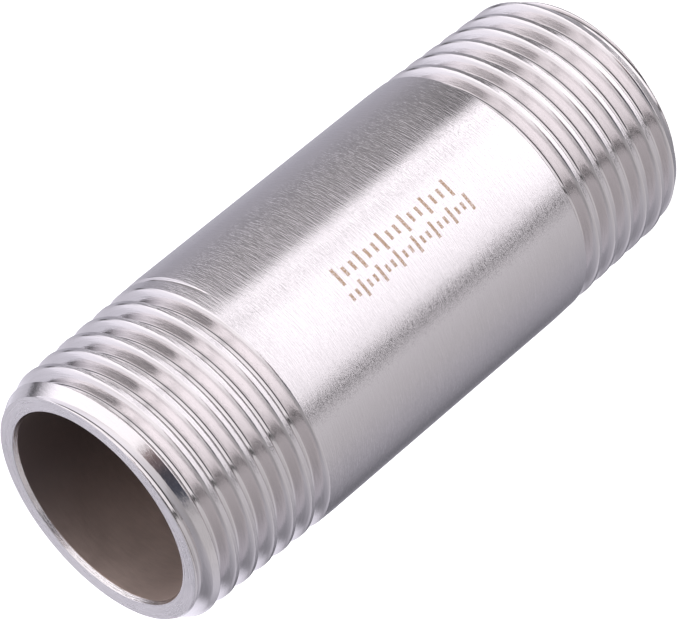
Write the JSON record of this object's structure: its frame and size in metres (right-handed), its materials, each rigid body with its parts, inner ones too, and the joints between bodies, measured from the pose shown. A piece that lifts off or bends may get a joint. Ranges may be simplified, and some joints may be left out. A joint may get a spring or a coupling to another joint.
{
  "type": "threaded pipe nipple",
  "caption": "Short straight stainless steel pipe nipple with a plain barrel between male taper threads, bevelled tips and a through bore, for joining two female pipe fittings.",
  "frame": {"origin": "centre of the bottom end face, on the tube's axis", "axes": "+Z along the tube's axis, from the bottom end to the top end; X and Y are free, apart from where the thread grooves start"},
  "size_m": [0.021, 0.021, 0.0508],
  "materials": {
    "stainless_steel": "fine circumferential machining grain, bright, with cut threads"
  },
  "bodies": {
    "root": {"nipple_body": "stainless_steel"}
  },
  "joints": []
}
